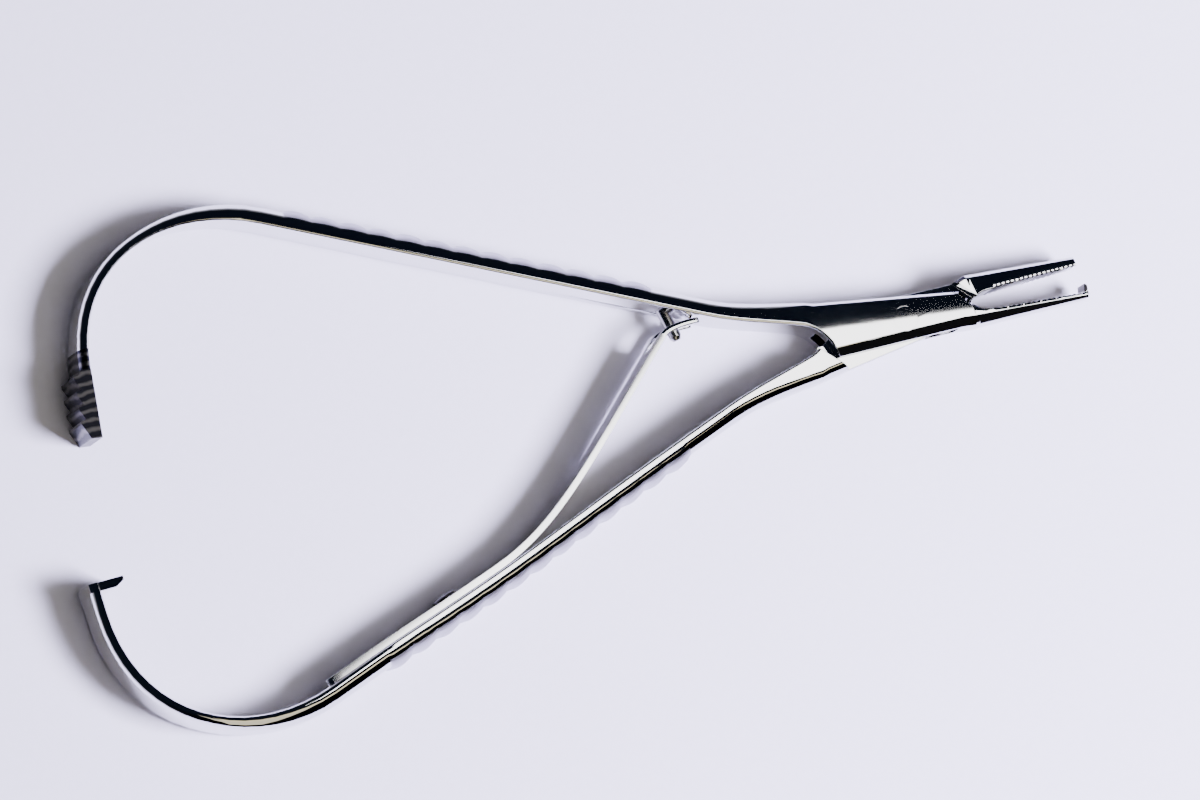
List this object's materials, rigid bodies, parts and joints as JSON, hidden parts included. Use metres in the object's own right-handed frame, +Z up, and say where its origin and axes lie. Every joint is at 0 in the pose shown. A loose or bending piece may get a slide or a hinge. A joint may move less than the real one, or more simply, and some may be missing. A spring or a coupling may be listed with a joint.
{
  "type": "mathieu pliers",
  "caption": "Spring-opened pliers with crossing steel arms, a box lock, serrated narrow jaws with a hook tip, ribbed handles and a ratchet at their ends.",
  "frame": {"origin": "on the axis of the box lock's pivot, at the underside on which the pliers lie", "axes": "+X towards the jaws along the line that halves the open handles, +Y towards the box arm's handle, +Z up along the pivot"},
  "size_m": [0.1387, 0.0666, 0.0065],
  "materials": {
    "arm_steel": "mirror polished stainless",
    "pin_steel": "polished stainless",
    "leaf_steel": "polished spring steel",
    "screw_steel": "turned stainless"
  },
  "bodies": {
    "box_side": {"box_arm": "arm_steel", "pivot_pin": "pin_steel", "guide_pin": "pin_steel"},
    "tongue_side": {"tongue_arm": "arm_steel", "leaf_spring": "leaf_steel", "spring_screw": "screw_steel"}
  },
  "joints": [
    {"name": "closing", "type": "hinge", "parent": "box_side", "child": "tongue_side", "pos_m": [0, 0, 0.00325], "axis": [0, 0, -1], "range_deg": [0, 7.4], "stiffness_Nm_per_rad": 1.5, "springref_deg": -5.73, "deforming": ["leaf_spring"]}
  ]
}
